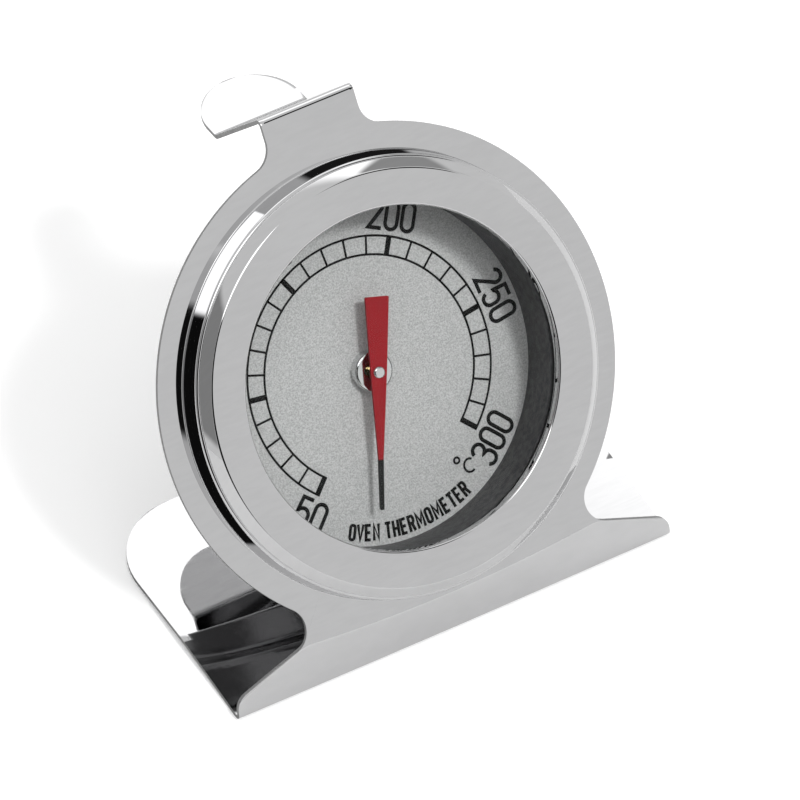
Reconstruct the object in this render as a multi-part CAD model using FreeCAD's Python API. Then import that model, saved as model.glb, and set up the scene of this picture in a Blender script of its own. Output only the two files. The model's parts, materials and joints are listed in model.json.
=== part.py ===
"""Oven thermometer: a round dial gauge held in a bent sheet stand.

Millimetres, +Z up, +X to the right of someone reading the dial, +Y away from them.
The origin is the centre of the base's underside.

The gauge is modelled in its own dial frame and then leaned back. The dial frame has
its origin at the centre of the face plate's front surface, X to the right, Y into the
gauge and Z up along the plate. Depths into the gauge are positive, heights in front of
the face plate are negative Y.
"""
import FreeCAD
import Part

import math
import os

from FreeCAD import Vector

# Stand
SHEET = 0.5                 # thickness of the stand's sheet
LEAN = 39.0                 # how far the face plate leans back, degrees
DISC_R = 30.0               # round face plate
BASE_WIDTH = 60.0
BASE_DEPTH = 33.5
BASE_CORNER_R = 9.5         # rear corners of the base
FOOT_DROP = 33.0            # from disc centre down the plate to the base fold
FOOT_SETBACK = 2.5          # the fold lies this far behind the plate's front surface
CREASE_DROP = 27.2          # soft bend where the foot strip starts
FOOT_NECK_DROP = 24.2       # centre of the concave corner above the foot
FOOT_SLOPE = 19.8           # downward slope of the foot's top edges, degrees
FOOT_CORNER_R = 2.0
NECK_R = 3.0                # concave corners between the disc and the foot and tab
TAB_WIDTH = 12.6
TAB_TOP = 34.6              # fold at the top of the tab, above the disc centre
HOOK_BACK = 14.2            # hook strip: depth and drop of its lower fold
HOOK_DROP = 3.3
FLAP_LENGTH = 8.0
FLAP_DIP = 8.3              # slope of the flap below horizontal, degrees
FOLD_R = 0.8                # outer radius of the sharp folds
SOFT_BEND_R = 1.6           # outer radius of the soft bend

# Raised collar round the hole in the face plate
COLLAR_R = 26.75            # where it leaves the plate
COLLAR_TOP_R = 26.4
COLLAR_BLEND = 0.3          # flat rim kept outside the collar's foot
COLLAR_HEIGHT = 2.9
COLLAR_HOLE_R = 25.75

# Case stack, radii
SHELL = 0.4                 # sheet of the cup, bezel and spacer
GAP = 0.02                  # between pieces pressed together
SKIRT_R = 25.7              # bezel skirt, inside the collar's hole
SKIRT_ROLL = 0.18           # how far the skirt's end is rolled out behind the collar
BEAD_R = 26.15              # foot of the bezel's sloping side, on the collar
SHOULDER_R = 24.9           # top of that slope
CUP_R = SKIRT_R - SHELL - GAP
STACK_R = CUP_R - SHELL - 0.08
CUP_BACK_R = 21.5
BORE_R = 21.0               # inside of the spacer ring
LIP_R = 20.45               # opening of the bezel

# Case stack, heights in front of the plate
BEZEL_HEIGHT = 4.25
LIP_HEIGHT = 4.1
GLASS_FRONT = 2.95
GLASS_THICKNESS = 1.5
SEAL_THICKNESS = 0.3

# Depths behind the plate's front surface
DIAL_DEPTH = 5.1
DIAL_THICKNESS = 0.4
CUP_DEPTH = 11.4

# Movement
STAFF_R = 0.6
RUNNING_GAP = 0.03
BUSH_FLANGE_R = 2.5
BUSH_HEIGHT = 1.4           # front bush above the dial
BUSH_SHANK_R = 1.2
FRAME_SHEET = 0.6
FRAME_WIDTH = 7.0
FRAME_REACH = 19.0          # from the shaft to the outside of the frame's side leg
FRAME_BACK = 10.5           # depth of the back leg's rear surface
COIL_STRIP = 0.45
COIL_WIDTH = 2.4
COIL_FRONT = 7.0
COIL_TURNS = 6.0
COIL_INNER_R = 2.1
COIL_OUTER_R = 14.5
HUB_R = 1.5
POINTER_RISE = 2.4          # middle of the pointer above the dial
POINTER_THICKNESS = 0.3
POINTER_LENGTH = 16.4
POINTER_TAIL = 9.0
POINTER_TAIL_WIDTH = 3.1
POINTER_WAIST_WIDTH = 2.1
POINTER_TIP_WIDTH = 0.5
REST_TURN = -163.4          # pointer at room temperature, clockwise from straight up

LEAN_RAD = math.radians(LEAN)
CENTRE_Y = (FOOT_DROP * math.sin(LEAN_RAD) - FOOT_SETBACK * math.cos(LEAN_RAD)
            - BASE_DEPTH / 2)
CENTRE_Z = FOOT_DROP * math.cos(LEAN_RAD) + FOOT_SETBACK * math.sin(LEAN_RAD)
DIAL_FRAME = FreeCAD.Placement(Vector(0, CENTRE_Y, CENTRE_Z),
                               FreeCAD.Rotation(Vector(1, 0, 0), -LEAN))
UNIT_X = Vector(1, 0, 0)
UNIT_Y = Vector(0, 1, 0)
UNIT_Z = Vector(0, 0, 1)


# Outlines

def rounded_edges(points, radii, closed):
    """Edges along 3-D points in one plane, with corner i rounded to radii[i]."""
    count = len(points)
    corners = []
    for index, point in enumerate(points):
        radius = radii[index]
        is_end = not closed and index in (0, count - 1)
        if is_end or radius <= 0:
            corners.append((point, None, point))
            continue
        before = (points[index - 1] - point).normalize()
        after = (points[(index + 1) % count] - point).normalize()
        half_angle = before.getAngle(after) / 2
        reach = radius / math.tan(half_angle)
        middle = (before + after).normalize()
        nearest = radius / math.sin(half_angle) - radius
        corners.append((point + before * reach, point + middle * nearest,
                        point + after * reach))
    edges = []
    for index, (start, mid, end) in enumerate(corners):
        if mid is not None:
            edges.append(Part.Arc(start, mid, end).toShape())
        last = index == count - 1
        if last and not closed:
            break
        following = corners[(index + 1) % count][0]
        if end.distanceToPoint(following) > 1e-6:
            edges.append(Part.makeLine(end, following))
    return edges


def rounded_face(points, radii):
    return Part.Face(Part.Wire(rounded_edges(points, radii, True)))


def revolve(section, radii=None):
    """Ring about the dial axis from (radius, height) corners, in the dial frame."""
    points = [Vector(radius, -height, 0) for radius, height in section]
    corner_radii = radii or [0] * len(points)
    return rounded_face(points, corner_radii).revolve(Vector(), UNIT_Y, 360)


def disc(radius, front_depth, thickness, hole=0.0):
    """Flat round piece whose front surface lies front_depth behind the plate."""
    blank = Part.makeCylinder(radius, thickness, Vector(0, front_depth, 0), UNIT_Y)
    if hole:
        bore = Part.makeCylinder(hole, thickness + 2, Vector(0, front_depth - 1, 0),
                                 UNIT_Y)
        blank = blank.cut(bore)
    return blank


def in_world(shape):
    placed = shape.copy()
    placed.Placement = DIAL_FRAME.multiply(placed.Placement)
    return placed


# Stand

def bend_line():
    """Outer surface of the bent sheet, from the base's rear edge to the flap's end."""
    rear = Vector(0, BASE_DEPTH / 2, 0)
    fold = Vector(0, -BASE_DEPTH / 2, 0)
    crease = DIAL_FRAME.multVec(Vector(0, 0, -CREASE_DROP))
    top = DIAL_FRAME.multVec(Vector(0, 0, TAB_TOP))
    hook = DIAL_FRAME.multVec(Vector(0, HOOK_BACK, TAB_TOP - HOOK_DROP))
    dip = math.radians(FLAP_DIP)
    flap = hook + Vector(0, math.cos(dip), -math.sin(dip)) * FLAP_LENGTH
    return [rear, fold, crease, top, hook, flap]


def offset_line(points, distance):
    """The same line moved sideways in the YZ plane, with mitred corners."""
    moved = []
    for index, point in enumerate(points):
        normals = []
        if index > 0:
            normals.append((point - points[index - 1]).normalize().cross(UNIT_X))
        if index < len(points) - 1:
            normals.append((points[index + 1] - point).normalize().cross(UNIT_X))
        total = sum(normals[1:], normals[0])
        total.normalize()
        moved.append(point + total * (distance / total.dot(normals[0])))
    return moved


def bent_sheet():
    """The bent sheet, wider than the face plate, before its outline is trimmed."""
    outer = bend_line()
    inner = offset_line(outer, SHEET)
    inner_fold = FOLD_R - SHEET
    outer_radii = [0, FOLD_R, SOFT_BEND_R, FOLD_R, inner_fold, 0]
    inner_radii = [0, inner_fold, SOFT_BEND_R - SHEET, inner_fold, FOLD_R, 0]
    face = rounded_face(outer + inner[::-1], outer_radii + inner_radii[::-1])
    half = DISC_R + 1
    face.translate(UNIT_X * -half)
    return face.extrude(UNIT_X * half * 2)


def face_outline():
    """Front outline in the dial frame: disc, tab above it and splayed foot below."""
    neck_reach = DISC_R + NECK_R
    tab_half = TAB_WIDTH / 2
    tab_neck_x = tab_half + NECK_R
    tab_neck = Vector(tab_neck_x, 0, math.sqrt(neck_reach ** 2 - tab_neck_x ** 2))
    foot_neck_z = -FOOT_NECK_DROP
    foot_neck = Vector(math.sqrt(neck_reach ** 2 - foot_neck_z ** 2), 0, foot_neck_z)
    slope = math.radians(FOOT_SLOPE)
    along = Vector(math.cos(slope), 0, -math.sin(slope))
    down = Vector(-math.sin(slope), 0, -math.cos(slope))
    foot_start = foot_neck + down * NECK_R
    foot_half = BASE_WIDTH / 2
    foot_tip = foot_start + along * ((foot_half - foot_start.x) / along.x)
    foot_bottom = Vector(foot_half, 0, -FOOT_DROP - 3)

    def arc(start, middle, end):
        return Part.Arc(start, middle, end).toShape()

    def toward(centre, target, radius):
        return centre + (target - centre).normalize() * radius

    tab_side = Vector(tab_half, 0, tab_neck.z)
    tab_join = toward(tab_neck, Vector(), NECK_R)
    tab_mid = toward(tab_neck, (tab_side + tab_join) * 0.5, NECK_R)
    foot_join = toward(foot_neck, Vector(), NECK_R)
    foot_mid = toward(foot_neck, (foot_start + foot_join) * 0.5, NECK_R)
    foot_edges = rounded_edges([foot_start, foot_tip, foot_bottom],
                               [0, FOOT_CORNER_R, 0], False)
    right = [
        Part.makeLine(Vector(tab_half, 0, TAB_TOP + 3), tab_side),
        arc(tab_side, tab_mid, tab_join),
        arc(tab_join, Vector(DISC_R, 0, 0), foot_join),
        arc(foot_join, foot_mid, foot_start),
    ] + foot_edges
    left = [edge.mirror(Vector(), UNIT_X) for edge in right]
    across_top = Part.makeLine(Vector(-tab_half, 0, TAB_TOP + 3),
                               Vector(tab_half, 0, TAB_TOP + 3))
    across_foot = Part.makeLine(Vector(-foot_half, 0, foot_bottom.z), foot_bottom)
    edges = Part.__sortEdges__(right + left + [across_top, across_foot])
    return Part.Face(Part.Wire(edges))


def base_blank():
    half = BASE_WIDTH / 2
    front = -BASE_DEPTH / 2 - 1
    rear = BASE_DEPTH / 2
    corners = [Vector(-half, front, -1), Vector(half, front, -1),
               Vector(half, rear, -1), Vector(-half, rear, -1)]
    face = rounded_face(corners, [0, 0, BASE_CORNER_R, BASE_CORNER_R])
    return face.extrude(UNIT_Z * (1 + SHEET + 0.3))


def hook_blank():
    """Space that the hook's strip and round flap are cut to, seen from above."""
    half = TAB_WIDTH / 2
    line = bend_line()
    top, flap = line[3], line[5]
    front = top.y - 1.0
    floor = flap.z - 3.0
    corners = [Vector(-half, front, floor), Vector(half, front, floor),
               Vector(half, flap.y, floor), Vector(-half, flap.y, floor)]
    round_end = half - 0.001
    face = rounded_face(corners, [0, 0, round_end, round_end])
    return face.extrude(UNIT_Z * (top.z - floor + 2))


def collar():
    """Raised rim, drawn out of the face plate round its hole."""
    section = [
        (COLLAR_R + COLLAR_BLEND, 0), (COLLAR_R, 0), (COLLAR_TOP_R, COLLAR_HEIGHT),
        (COLLAR_HOLE_R, COLLAR_HEIGHT), (COLLAR_HOLE_R, COLLAR_HEIGHT - SHEET),
        (COLLAR_TOP_R - SHEET, COLLAR_HEIGHT - SHEET), (COLLAR_R - SHEET, -SHEET),
        (COLLAR_R + COLLAR_BLEND, -SHEET),
    ]
    radii = [0, 0.15, 0.4, 0, 0, 0.15, 0.15, 0]
    return revolve(section, radii)


def make_stand():
    plate = face_outline()
    plate.translate(UNIT_Y * -2)
    plate = in_world(plate.extrude(UNIT_Y * 6))
    trim = plate.fuse([base_blank(), hook_blank()])
    sheet = bent_sheet().common(trim)
    hole = in_world(Part.makeCylinder(COLLAR_R + COLLAR_BLEND, 4, Vector(0, -2, 0), UNIT_Y))
    return sheet.cut(hole).fuse(in_world(collar())).removeSplitter()


# Case

def make_bezel_ring():
    """Ring with a sloping side, a nearly flat face and a turned-in lip.

    Its skirt passes through the collar's hole and is rolled out behind the collar.
    """
    inside = SKIRT_R - SHELL
    roll = COLLAR_HEIGHT - SHEET
    section = [
        (SKIRT_R, roll - GAP), (SKIRT_R, COLLAR_HEIGHT + GAP),
        (BEAD_R, COLLAR_HEIGHT + GAP), (SHOULDER_R, BEZEL_HEIGHT),
        (LIP_R, LIP_HEIGHT), (LIP_R, GLASS_FRONT),
        (LIP_R + SHELL, GLASS_FRONT), (LIP_R + SHELL, LIP_HEIGHT - 0.35),
        (SHOULDER_R - 0.25, BEZEL_HEIGHT - 0.45), (inside, COLLAR_HEIGHT + 0.45),
        (inside, roll - SHELL - GAP),
        (SKIRT_R + SKIRT_ROLL, roll - SHELL - GAP), (SKIRT_R + SKIRT_ROLL, roll - GAP),
    ]
    radii = [0, 0, 0.08, 0.7, 0.35, 0, 0, 0.15, 0.4, 0.2, 0.2, 0.08, 0.08]
    return revolve(section, radii)


def make_lens_seal():
    return disc(STACK_R, -GLASS_FRONT - SEAL_THICKNESS, SEAL_THICKNESS, LIP_R + 0.9)


def make_lens_glass():
    return disc(STACK_R, -GLASS_FRONT, GLASS_THICKNESS)


def make_rear_seal():
    return disc(STACK_R, GLASS_THICKNESS - GLASS_FRONT, SEAL_THICKNESS, BORE_R + 0.1)


def make_spacer_ring():
    """Sleeve with a flange at each end, from the rear seal to the dial."""
    front = GLASS_FRONT - GLASS_THICKNESS - SEAL_THICKNESS
    back = -DIAL_DEPTH
    wall = BORE_R + SHELL
    section = [
        (BORE_R, front), (STACK_R, front), (STACK_R, front - SHELL),
        (wall, front - SHELL), (wall, back + SHELL), (STACK_R, back + SHELL),
        (STACK_R, back), (BORE_R, back),
    ]
    return revolve(section, [0.15, 0, 0, 0.3, 0.3, 0, 0, 0])


def make_dial_plate():
    return disc(STACK_R, DIAL_DEPTH, DIAL_THICKNESS, BUSH_SHANK_R)


def make_case_cup():
    """Stepped cup: the dial rests on the step and the movement hangs below it."""
    rim = GLASS_FRONT - 0.1
    step = -(DIAL_DEPTH + DIAL_THICKNESS)
    inner_r = CUP_R - SHELL
    back_inner_r = CUP_BACK_R - SHELL
    section = [
        (0, -CUP_DEPTH), (0, -CUP_DEPTH + SHELL), (back_inner_r, -CUP_DEPTH + SHELL),
        (back_inner_r, step), (inner_r, step), (inner_r, rim), (CUP_R, rim),
        (CUP_R, step - SHELL), (CUP_BACK_R, step - SHELL), (CUP_BACK_R, -CUP_DEPTH),
    ]
    radii = [0, 0, 0.8, 0, 0, 0, 0.15, 0.8, 0.4, 1.2]
    return revolve(section, radii)


# Movement

def make_front_bush():
    """Hollow rivet: bearing for the shaft, clamping the frame to the dial."""
    face = BUSH_HEIGHT - DIAL_DEPTH
    rear = -(DIAL_DEPTH + DIAL_THICKNESS + FRAME_SHEET + 0.6)
    bore = STAFF_R + RUNNING_GAP
    section = [
        (bore, face), (BUSH_FLANGE_R, face), (BUSH_FLANGE_R, -DIAL_DEPTH),
        (BUSH_SHANK_R, -DIAL_DEPTH), (BUSH_SHANK_R, rear + 0.3),
        (BUSH_SHANK_R + 0.4, rear + 0.3), (BUSH_SHANK_R + 0.4, rear), (bore, rear),
    ]
    return revolve(section, [0.15, 0.4, 0, 0, 0, 0.1, 0.15, 0])


def make_bush_washer():
    front = DIAL_DEPTH + DIAL_THICKNESS + FRAME_SHEET
    return disc(BUSH_SHANK_R + 0.9, front, 0.3, BUSH_SHANK_R)


def make_movement_frame():
    """C-shaped strap: front leg behind the dial, side leg, and back leg."""
    front = DIAL_DEPTH + DIAL_THICKNESS
    inner_front = front + FRAME_SHEET
    inner_back = FRAME_BACK - FRAME_SHEET
    end = -FRAME_WIDTH / 2
    side = FRAME_REACH - FRAME_SHEET
    corners = [
        (end, front), (FRAME_REACH, front), (FRAME_REACH, FRAME_BACK),
        (end, FRAME_BACK), (end, inner_back), (side, inner_back),
        (side, inner_front), (end, inner_front),
    ]
    points = [Vector(x, depth, -FRAME_WIDTH / 2) for x, depth in corners]
    strap = rounded_face(points, [0, 0.9, 0.9, 0, 0, 0.3, 0.3, 0])
    strap = strap.extrude(UNIT_Z * FRAME_WIDTH)
    reach = FRAME_REACH - end
    round_ends = Part.makeCylinder(FRAME_WIDTH / 2, 20, Vector(0, 0, 0), UNIT_Y)
    body = Part.makeBox(reach, 20, FRAME_WIDTH, Vector(0, 0, -FRAME_WIDTH / 2))
    strap = strap.common(round_ends.fuse(body))
    bores = Part.makeCylinder(BUSH_SHANK_R, 20, Vector(0, 0, 0), UNIT_Y)
    return strap.cut(bores)


def make_rear_bush():
    """Flanged bearing in the frame's back leg, flange towards the coil."""
    inner_back = -(FRAME_BACK - FRAME_SHEET)
    bore = STAFF_R + RUNNING_GAP
    section = [
        (bore, inner_back + 0.3), (BUSH_SHANK_R + 0.6, inner_back + 0.3),
        (BUSH_SHANK_R + 0.6, inner_back), (BUSH_SHANK_R, inner_back),
        (BUSH_SHANK_R, -FRAME_BACK), (bore, -FRAME_BACK),
    ]
    return revolve(section)


def make_pointer_staff():
    """Shaft, with a riveted head over the pointer and a groove for its clip."""
    head = POINTER_RISE + POINTER_THICKNESS / 2 - DIAL_DEPTH
    groove = -(FRAME_BACK + 0.03)
    tail = -(CUP_DEPTH - SHELL - 0.2)
    section = [
        (0, head + 0.3), (STAFF_R + 0.15, head + 0.3), (STAFF_R + 0.15, head),
        (STAFF_R, head), (STAFF_R, groove), (STAFF_R - 0.2, groove),
        (STAFF_R - 0.2, groove - 0.3), (STAFF_R, groove - 0.3), (STAFF_R, tail),
        (0, tail),
    ]
    return revolve(section, [0, 0.28, 0, 0, 0, 0, 0, 0, 0.1, 0])


def make_staff_clip():
    front = FRAME_BACK + 0.04
    ring = disc(1.5, front, 0.26, STAFF_R - 0.19)
    slot = Part.makeBox(3, 2, 0.7, Vector(0, front - 1, -0.35))
    return ring.cut(slot)


def make_pointer_boss():
    blade_back = POINTER_RISE - POINTER_THICKNESS / 2 - DIAL_DEPTH
    foot = BUSH_HEIGHT - DIAL_DEPTH + 0.06
    section = [(STAFF_R, blade_back), (1.0, blade_back), (1.0, foot), (STAFF_R, foot)]
    return revolve(section)


def turned(shape):
    """A shape drawn pointing straight up, turned to where the pointer rests."""
    moved = shape.copy()
    moved.rotate(Vector(), UNIT_Y, REST_TURN)
    return moved


def make_pointer():
    """Stamped blade: blunt wide tail, waist at the shaft, long fine tip."""
    front = DIAL_DEPTH - POINTER_RISE - POINTER_THICKNESS / 2
    tail = POINTER_TAIL_WIDTH / 2
    waist = POINTER_WAIST_WIDTH / 2
    tip = POINTER_TIP_WIDTH / 2
    fine = -waist + (waist - tip) * 0.9
    needle = POINTER_LENGTH * 0.62
    corners = [
        (-tail, -POINTER_TAIL), (tail, -POINTER_TAIL), (waist, 0), (-fine, needle),
        (tip, POINTER_LENGTH), (-tip, POINTER_LENGTH), (fine, needle), (-waist, 0),
    ]
    points = [Vector(x, front, z) for x, z in corners]
    blade = rounded_face(points, [0.15, 0.15, 0, 0, 0.15, 0.15, 0, 0])
    blade = blade.extrude(UNIT_Y * POINTER_THICKNESS)
    hole = Part.makeCylinder(STAFF_R, 2, Vector(0, front - 1, 0), UNIT_Y)
    return turned(blade.cut(hole))


def make_coil_hub():
    ring = disc(HUB_R, COIL_FRONT - 0.1, COIL_WIDTH + 0.2, STAFF_R)
    slot = Part.makeBox(HUB_R, COIL_WIDTH + 2, COIL_STRIP + 0.1,
                        Vector(STAFF_R + 0.2, COIL_FRONT - 1, -COIL_STRIP / 2 - 0.05))
    return ring.cut(slot)


def spiral_point(turn, offset):
    """Point on the coil after so many turns, moved outwards by offset."""
    pitch = (COIL_OUTER_R - COIL_INNER_R) / COIL_TURNS
    radius = COIL_INNER_R + pitch * turn + offset
    angle = 2 * math.pi * turn
    return Vector(radius * math.cos(angle), COIL_FRONT, radius * math.sin(angle))


def make_bimetal_coil():
    """Flat spiral strip: two smooth spirals joined at their ends."""
    steps = int(COIL_TURNS * 12)
    turns = [COIL_TURNS * step / steps for step in range(steps + 1)]
    sides = []
    for offset in (-COIL_STRIP / 2, COIL_STRIP / 2):
        curve = Part.BSplineCurve()
        curve.interpolate([spiral_point(turn, offset) for turn in turns])
        sides.append(curve.toShape())
    ends = [Part.makeLine(spiral_point(turn, -COIL_STRIP / 2),
                          spiral_point(turn, COIL_STRIP / 2))
            for turn in (0, COIL_TURNS)]
    wire = Part.Wire(Part.__sortEdges__(sides + ends))
    return Part.Face(wire).extrude(UNIT_Y * COIL_WIDTH)


def make_anchor_post():
    """Block standing on the frame's back leg, just outside the coil's outer end."""
    length = 2.4
    inner = COIL_OUTER_R + COIL_STRIP / 2 + GAP
    depth = COIL_FRONT
    height = FRAME_BACK - FRAME_SHEET - depth
    post = Part.makeBox(length, height, 3.0, Vector(inner, depth, -1.5))
    hole = Part.makeCylinder(0.4, 4, Vector(inner - 1, depth + COIL_WIDTH / 2, 0),
                             UNIT_X)
    return post.cut(hole)


def make_anchor_rivet():
    inner = COIL_OUTER_R + COIL_STRIP / 2 + GAP
    axis_depth = COIL_FRONT + COIL_WIDTH / 2
    shank = Part.makeCylinder(0.4 - GAP / 2, 2.4, Vector(inner, axis_depth, 0), UNIT_X)
    head = Part.makeCylinder(0.8, 0.4, Vector(inner + 2.4, axis_depth, 0), UNIT_X)
    return shank.fuse(head)


GAUGE_PIECES = {
    "bezel_ring": make_bezel_ring,
    "lens_seal": make_lens_seal,
    "lens_glass": make_lens_glass,
    "rear_seal": make_rear_seal,
    "spacer_ring": make_spacer_ring,
    "dial_plate": make_dial_plate,
    "case_cup": make_case_cup,
    "front_bush": make_front_bush,
    "bush_washer": make_bush_washer,
    "movement_frame": make_movement_frame,
    "rear_bush": make_rear_bush,
    "pointer_staff": make_pointer_staff,
    "staff_clip": make_staff_clip,
    "pointer_boss": make_pointer_boss,
    "pointer": make_pointer,
    "coil_hub": make_coil_hub,
    "bimetal_coil": make_bimetal_coil,
    "anchor_post": make_anchor_post,
    "anchor_rivet": make_anchor_rivet,
}


def main():
    os.makedirs("parts", exist_ok=True)
    make_stand().exportStep("parts/stand.step")
    for name, make in GAUGE_PIECES.items():
        in_world(make()).exportStep(f"parts/{name}.step")


main()
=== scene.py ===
"""Looks of an oven thermometer: a round gauge in a mirror-polished bent sheet stand.

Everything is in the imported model's frame, in metres. The gauge leans back, so its
pieces are drawn in the dial frame: its origin is the centre of the face plate's front
surface, X points right, Y into the gauge and Z up along the plate. Sizes there are in
millimetres, and place() turns them into the model's metres. A height is measured from
the face plate's front surface towards the viewer, so it is the opposite of a depth.
"""

import json
import math

import bmesh
import bpy
from mathutils import Matrix, Vector

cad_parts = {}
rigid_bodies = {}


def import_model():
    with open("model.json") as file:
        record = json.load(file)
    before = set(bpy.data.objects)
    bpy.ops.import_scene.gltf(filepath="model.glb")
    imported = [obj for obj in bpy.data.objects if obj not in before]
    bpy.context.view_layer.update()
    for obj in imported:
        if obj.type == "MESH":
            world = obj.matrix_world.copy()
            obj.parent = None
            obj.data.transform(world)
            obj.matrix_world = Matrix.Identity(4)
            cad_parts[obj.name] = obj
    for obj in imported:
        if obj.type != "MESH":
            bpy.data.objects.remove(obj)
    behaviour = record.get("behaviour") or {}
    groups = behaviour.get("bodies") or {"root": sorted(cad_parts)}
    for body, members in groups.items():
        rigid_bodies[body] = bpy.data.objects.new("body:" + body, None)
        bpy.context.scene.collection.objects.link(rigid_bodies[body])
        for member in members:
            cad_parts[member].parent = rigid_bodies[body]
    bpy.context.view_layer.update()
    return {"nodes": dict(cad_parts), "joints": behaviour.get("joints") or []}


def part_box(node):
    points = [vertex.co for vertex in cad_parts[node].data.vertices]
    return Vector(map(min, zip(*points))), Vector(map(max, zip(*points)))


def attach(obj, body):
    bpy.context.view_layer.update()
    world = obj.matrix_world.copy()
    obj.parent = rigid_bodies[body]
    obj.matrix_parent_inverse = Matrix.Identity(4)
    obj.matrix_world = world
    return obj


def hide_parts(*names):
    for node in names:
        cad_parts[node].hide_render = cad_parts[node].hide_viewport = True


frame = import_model()

MM = 0.001
TURN = 2 * math.pi

# The dial frame comes from the pointer's joint.
JOINT = frame["joints"][0]
CASE_BODY = JOINT["parent"]
CENTRE = Vector(JOINT["pos_m"])
RIGHT = Vector((1, 0, 0))
INTO = Vector(JOINT["axis"]).normalized()
ALONG = RIGHT.cross(INTO)
DIAL = Matrix((RIGHT, INTO, ALONG)).transposed().to_4x4()
DIAL.translation = CENTRE
TO_DIAL = DIAL.inverted()


def place(x, depth, z):
    """Point in the model's frame, from millimetres in the dial frame."""
    return DIAL @ Vector((x * MM, depth * MM, z * MM))


def in_dial(point):
    """Millimetres in the dial frame, from a point in the model's frame."""
    return (TO_DIAL @ point) / MM


def node_points(node):
    """Vertices of a CAD node in the dial frame, in millimetres."""
    return [in_dial(vertex.co) for vertex in frame["nodes"][node].data.vertices]


LIP_R = min(math.hypot(point.x, point.z) for point in node_points("bezel_ring"))
GLASS_HEIGHT = -min(point.y for point in node_points("lens_glass"))
DIAL_DEPTH = min(point.y for point in node_points("dial_plate"))
STAND_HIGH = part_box("stand")[1]

# Stand, in millimetres. Its overall sizes are the CAD model's.
SHEET = 0.5
DISC_R = STAND_HIGH.x / MM
BASE_HALF = DISC_R          # the base is as wide as the face plate
BASE_FRONT = -16.75
BASE_REAR = 16.75
BASE_CORNER_R = 9.5
BASE_RISE = 0.7             # the base is pressed into a shallow roof
BASE_TOP = BASE_RISE + 0.2  # rows lower than this belong to the base
BASE_CREASE = 11.7          # its crease behind the front fold, at the middle
BASE_CREASE_BOW = 2.3       # and how much further back the crease is at the sides
REAR_FLAT = 19.0            # the rows of the rear corners are spaced along this length
CREASE_DROP = 27.65         # crease above the foot, below the disc's centre
CREASE_BOW = 0.95           # how much higher it is at its ends
CREASE_HALF = 19.4
FOOT_NECK_DROP = 24.2
FOOT_SLOPE = math.radians(19.8)
FOOT_CORNER_R = 2.0
NECK_R = 3.0
TAB_HALF = 6.3
TAB_TOP = 34.6
HOOK_BACK = 14.2
HOOK_DROP = 3.3
FLAP_LENGTH = 8.0
FLAP_DIP = math.radians(8.3)
FLAP_TIP_HALF = 0.6         # the flap's round end stops at this half-width
COLLAR_R = 26.75
COLLAR_TOP_R = 26.4
COLLAR_HEIGHT = 2.9
COLLAR_HOLE_R = 25.75
COLLAR_FOOT_BEND = 0.15
COLLAR_TOP_BEND = 0.4
COLLAR_GUARDS = (0.22, 0.19)        # flat rings just outside the collar's foot
COLLAR_LEAST_STEP = math.radians(0.3)   # between mesh points round the collar
STAND_WEAR = 0.05           # width of the softened edges

# Corners of the bent sheet, from the base's rear edge to the end of the hook's flap,
# and the radius of each bend.
REAR, CREASE, FRONT_FOLD, FOOT_BEND, TAB_FOLD, FLAP_FOLD, FLAP_END = range(7)
BEND_RADII = {CREASE: 6.0, FRONT_FOLD: 0.8, FOOT_BEND: 2.0, TAB_FOLD: 0.8,
              FLAP_FOLD: 0.7}

# How finely the stand's mesh is divided.
ARC_POINTS = 24             # along a bend, before its rows are picked
BEND_STEPS = 8
FOOT_COLUMNS = 48
HOOK_COLUMNS = 24
REAR_CORNER_STEPS = 16
FOOT_STEPS = 30
FLAP_STEPS = 24
FOOT_SIDE_STEPS = 14
DISC_STEPS = 90
TAB_SIDE_STEPS = 12
WIDTH_ROUNDS = 30           # for a row's half-width to settle


# Outlines and meshes

def corner_arc(before, corner, after, radius, steps):
    """Points on the arc of that radius which rounds a corner."""
    back = (before - corner).normalized()
    ahead = (after - corner).normalized()
    half_angle = back.angle(ahead) / 2
    reach = radius / math.tan(half_angle)
    bisector = (back + ahead).normalized()
    centre = corner + bisector * (radius / math.sin(half_angle))
    start = corner + back * reach - centre
    end = corner + ahead * reach - centre
    sweep = start.angle(end)
    points = []
    for step in range(steps + 1):
        share = step / steps
        weight_a = math.sin((1 - share) * sweep) / math.sin(sweep)
        weight_b = math.sin(share * sweep) / math.sin(sweep)
        points.append(centre + start * weight_a + end * weight_b)
    return points


def rounded(corners, steps):
    """Closed outline through (x, y, radius) corners, each rounded to its radius."""
    points = [Vector((x, y)) for x, y, radius in corners]
    outline = []
    for index, (x, y, radius) in enumerate(corners):
        if radius > 0:
            following = points[(index + 1) % len(points)]
            outline += corner_arc(points[index - 1], points[index], following, radius,
                                  steps)
        else:
            outline.append(points[index])
    return outline


def finish_mesh(name, mesh, body, material, smooth_angle=35):
    """Piece from a mesh, riding on a body. Sharper angles than that stay sharp."""
    mesh.validate()
    piece = bpy.data.objects.new(name, mesh)
    bpy.context.scene.collection.objects.link(piece)
    mesh.polygons.foreach_set("use_smooth", [True] * len(mesh.polygons))
    mesh.set_sharp_from_angle(angle=math.radians(smooth_angle))
    mesh.materials.append(material)
    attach(piece, body)
    return piece


def mesh_piece(name, vertices, faces, body, material, smooth_angle=35):
    """Piece whose doubled points are welded and whose faces point outwards."""
    mesh = bpy.data.meshes.new(name)
    mesh.from_pydata([tuple(v) for v in vertices], [], faces)
    clean = bmesh.new()
    clean.from_mesh(mesh)
    bmesh.ops.remove_doubles(clean, verts=clean.verts, dist=MM * 1e-4)
    bmesh.ops.recalc_face_normals(clean, faces=clean.faces)
    clean.to_mesh(mesh)
    clean.free()
    return finish_mesh(name, mesh, body, material, smooth_angle)


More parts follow.
